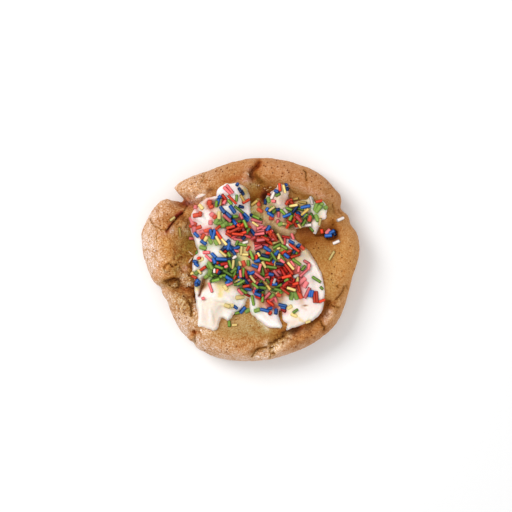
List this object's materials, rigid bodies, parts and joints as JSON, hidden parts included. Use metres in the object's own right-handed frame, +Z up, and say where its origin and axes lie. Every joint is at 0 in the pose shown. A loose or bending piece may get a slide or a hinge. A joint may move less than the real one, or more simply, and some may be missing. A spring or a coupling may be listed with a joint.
{
  "type": "birthday cake cookie",
  "caption": "Thick round cookie with lobed, creased edges and a split at its side, a broad icing dollop in its hollow top and a smaller icing patch beside it.",
  "frame": {"origin": "middle of the flat base, under the middle of the outline's box", "axes": "+Z up out of the iced top, +X along the widest way across, to the right when the split between the lobes is at the upper left"},
  "size_m": [0.0964, 0.0898, 0.0222],
  "materials": {
    "dough": "matt baked crust, golden brown with darker creases",
    "icing": "satin, soft whipped icing",
    "glaze": "glossy, half clear melted icing",
    "red_sugar": "smooth sugar strands",
    "pink_sugar": "smooth sugar strands",
    "green_sugar": "smooth sugar strands",
    "blue_sugar": "smooth sugar strands",
    "yellow_sugar": "smooth sugar strands",
    "white_sugar": "smooth sugar strands"
  },
  "bodies": {
    "root": {"cookie": "dough", "icing_dollop": "icing", "icing_patch": "icing"}
  },
  "joints": []
}
